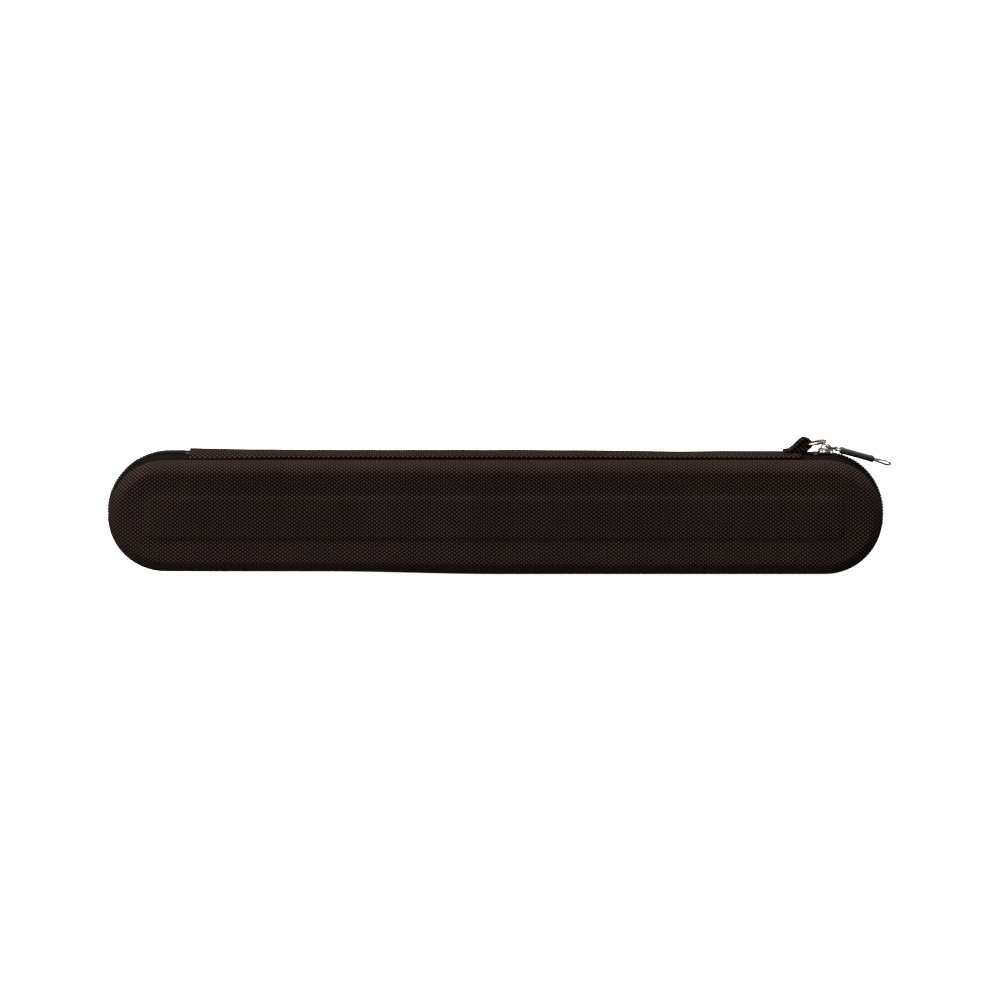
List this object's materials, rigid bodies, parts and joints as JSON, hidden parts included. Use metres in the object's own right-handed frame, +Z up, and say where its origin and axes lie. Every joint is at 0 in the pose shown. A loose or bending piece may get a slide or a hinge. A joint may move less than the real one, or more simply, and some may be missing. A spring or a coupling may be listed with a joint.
{
  "type": "rod case",
  "caption": "Long hard-shell travel case for a multi-piece fishing rod: two fabric-covered foam shells on a fabric spine, closed by a coil zip that runs round the ends and one side.",
  "frame": {"origin": "middle of the flat panel on the back shell, in the face that the case lies on", "axes": "+X along the case towards the end where the slider is parked, +Y towards the spine, +Z up through the lid"},
  "size_m": [0.5074, 0.0886, 0.066],
  "materials": {
    "woven_cover": "coarse basket-woven polyester",
    "eva_foam": "matt moulded foam",
    "knit_lining": "brushed knit",
    "binding_tape": "ribbed tape",
    "zip_tape": "fine twill tape",
    "zip_coil": "nylon coil",
    "elastic": "ribbed elastic webbing",
    "mesh": "open knitted mesh",
    "steel": "nickel plated",
    "gunmetal": "dull plated",
    "sleeve_rubber": "moulded satin rubber"
  },
  "bodies": {
    "base": {"base_cover": "woven_cover", "base_core": "eva_foam", "base_lining": "knit_lining", "base_binding": "binding_tape", "base_zip_tape": "zip_tape", "base_zip_coil": "zip_coil", "rod_strap_left": "elastic", "rod_strap_right": "elastic"},
    "spine": {"spine_cover": "woven_cover", "spine_pad": "eva_foam", "spine_lining": "knit_lining", "left_zip_tape": "zip_tape", "left_zip_coil": "zip_coil", "right_zip_tape": "zip_tape", "right_zip_coil": "zip_coil", "bottom_stop": "gunmetal", "top_stops": "gunmetal", "ring_tab": "woven_cover"},
    "lid": {"lid_cover": "woven_cover", "lid_core": "eva_foam", "lid_lining": "knit_lining", "lid_binding": "binding_tape", "lid_zip_tape": "zip_tape", "lid_zip_coil": "zip_coil", "pocket_mesh": "mesh", "pocket_hem": "elastic"},
    "ring": {"d_ring": "steel"},
    "slider": {"slider": "steel"},
    "link": {"puller_link": "gunmetal"},
    "puller": {"puller_loop": "steel", "puller_sleeve": "sleeve_rubber"}
  },
  "joints": [
    {"name": "spine_fold", "type": "hinge", "parent": "base", "child": "spine", "pos_m": [0, 0.0368, 0.02], "axis": [-1, 0, 0], "range_deg": [0, 90]},
    {"name": "lid_fold", "type": "hinge", "parent": "spine", "child": "lid", "pos_m": [0, 0.0368, 0.046], "axis": [-1, 0, 0], "range_deg": [0, 90]},
    {"name": "ring_swing", "type": "hinge", "parent": "spine", "child": "ring", "pos_m": [0.202, 0.0448, 0.033], "axis": [0, 0, 1], "range_deg": [0, 95]},
    {"name": "slider_run", "type": "hinge", "parent": "spine", "child": "slider", "pos_m": [0.2112, 0, 0.033], "axis": [0, 0, -1], "range_deg": [0, 15]},
    {"name": "link_swing", "type": "hinge", "parent": "slider", "child": "link", "pos_m": [0.21344, 0.04274, 0.033], "axis": [0, 0, 1], "range_deg": [0, 80]},
    {"name": "loop_swing", "type": "hinge", "parent": "link", "child": "puller", "pos_m": [0.21999, 0.04135, 0.033], "axis": [0, 0, 1], "range_deg": [0, 60]}
  ],
  "couplings": [
    {"joint": "lid_fold", "follows": "spine_fold", "ratio": 1}
  ]
}
